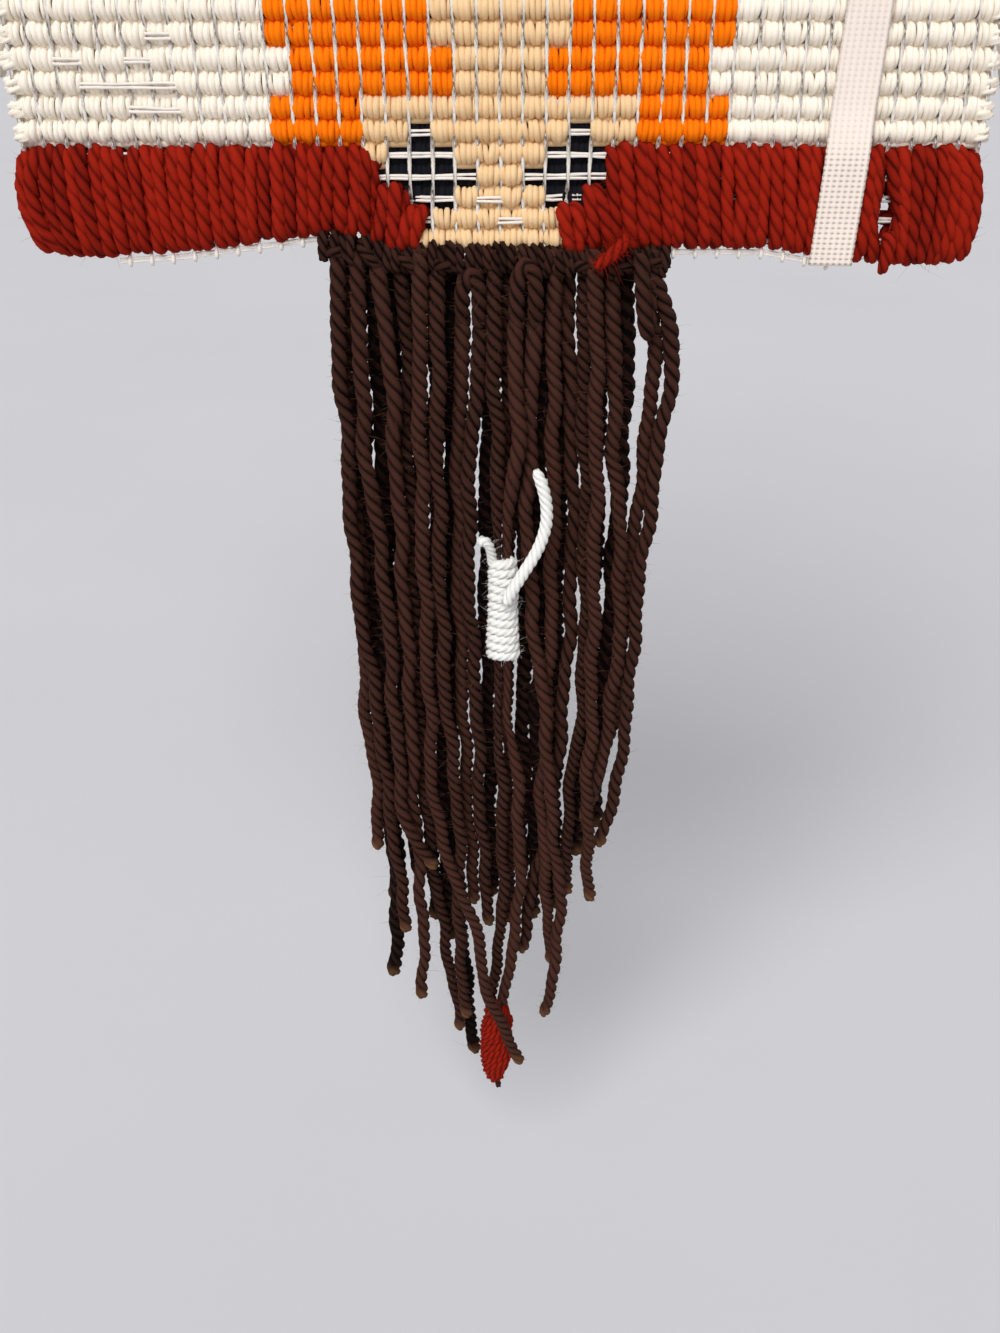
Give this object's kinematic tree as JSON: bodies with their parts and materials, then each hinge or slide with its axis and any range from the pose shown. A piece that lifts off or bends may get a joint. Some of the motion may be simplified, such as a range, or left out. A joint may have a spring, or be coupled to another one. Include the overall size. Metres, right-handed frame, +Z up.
{
  "type": "latch hook wall hanging",
  "caption": "Latch hook wall hanging with a cut pile panel on open canvas, a whipped lower hem, a long yarn fringe, a side tape and wound ends.",
  "frame": {"origin": "middle of the canvas's top edge, where the wall holds the hanging", "axes": "+Z up along the hang, +X to the right as seen from the canvas side, +Y out of the pile side; the pictured canvas side faces -Y"},
  "size_m": [0.3117, 0.0451, 0.682],
  "materials": {
    "canvas": "stiff white cotton rug canvas of paired threads",
    "knot_yarn": "plied acrylic rug yarn, cream with tan, orange and black areas",
    "pile_yarn": "cut yarn pile, cream with tan, orange and black areas",
    "red_yarn": "brick red plied yarn with a soft halo",
    "brown_yarn": "dark brown four-ply yarn",
    "cotton_tape": "flat cream woven cotton tape",
    "white_yarn": "white plied yarn"
  },
  "bodies": {
    "root": {"canvas": "canvas", "knot_backs": "knot_yarn", "pile": "pile_yarn", "binding_left": "red_yarn", "binding_right": "red_yarn", "fringe": "brown_yarn", "tape": "cotton_tape", "tie_wrap": "white_yarn", "tie_tail": "white_yarn", "tip_wrap": "red_yarn"}
  },
  "joints": []
}
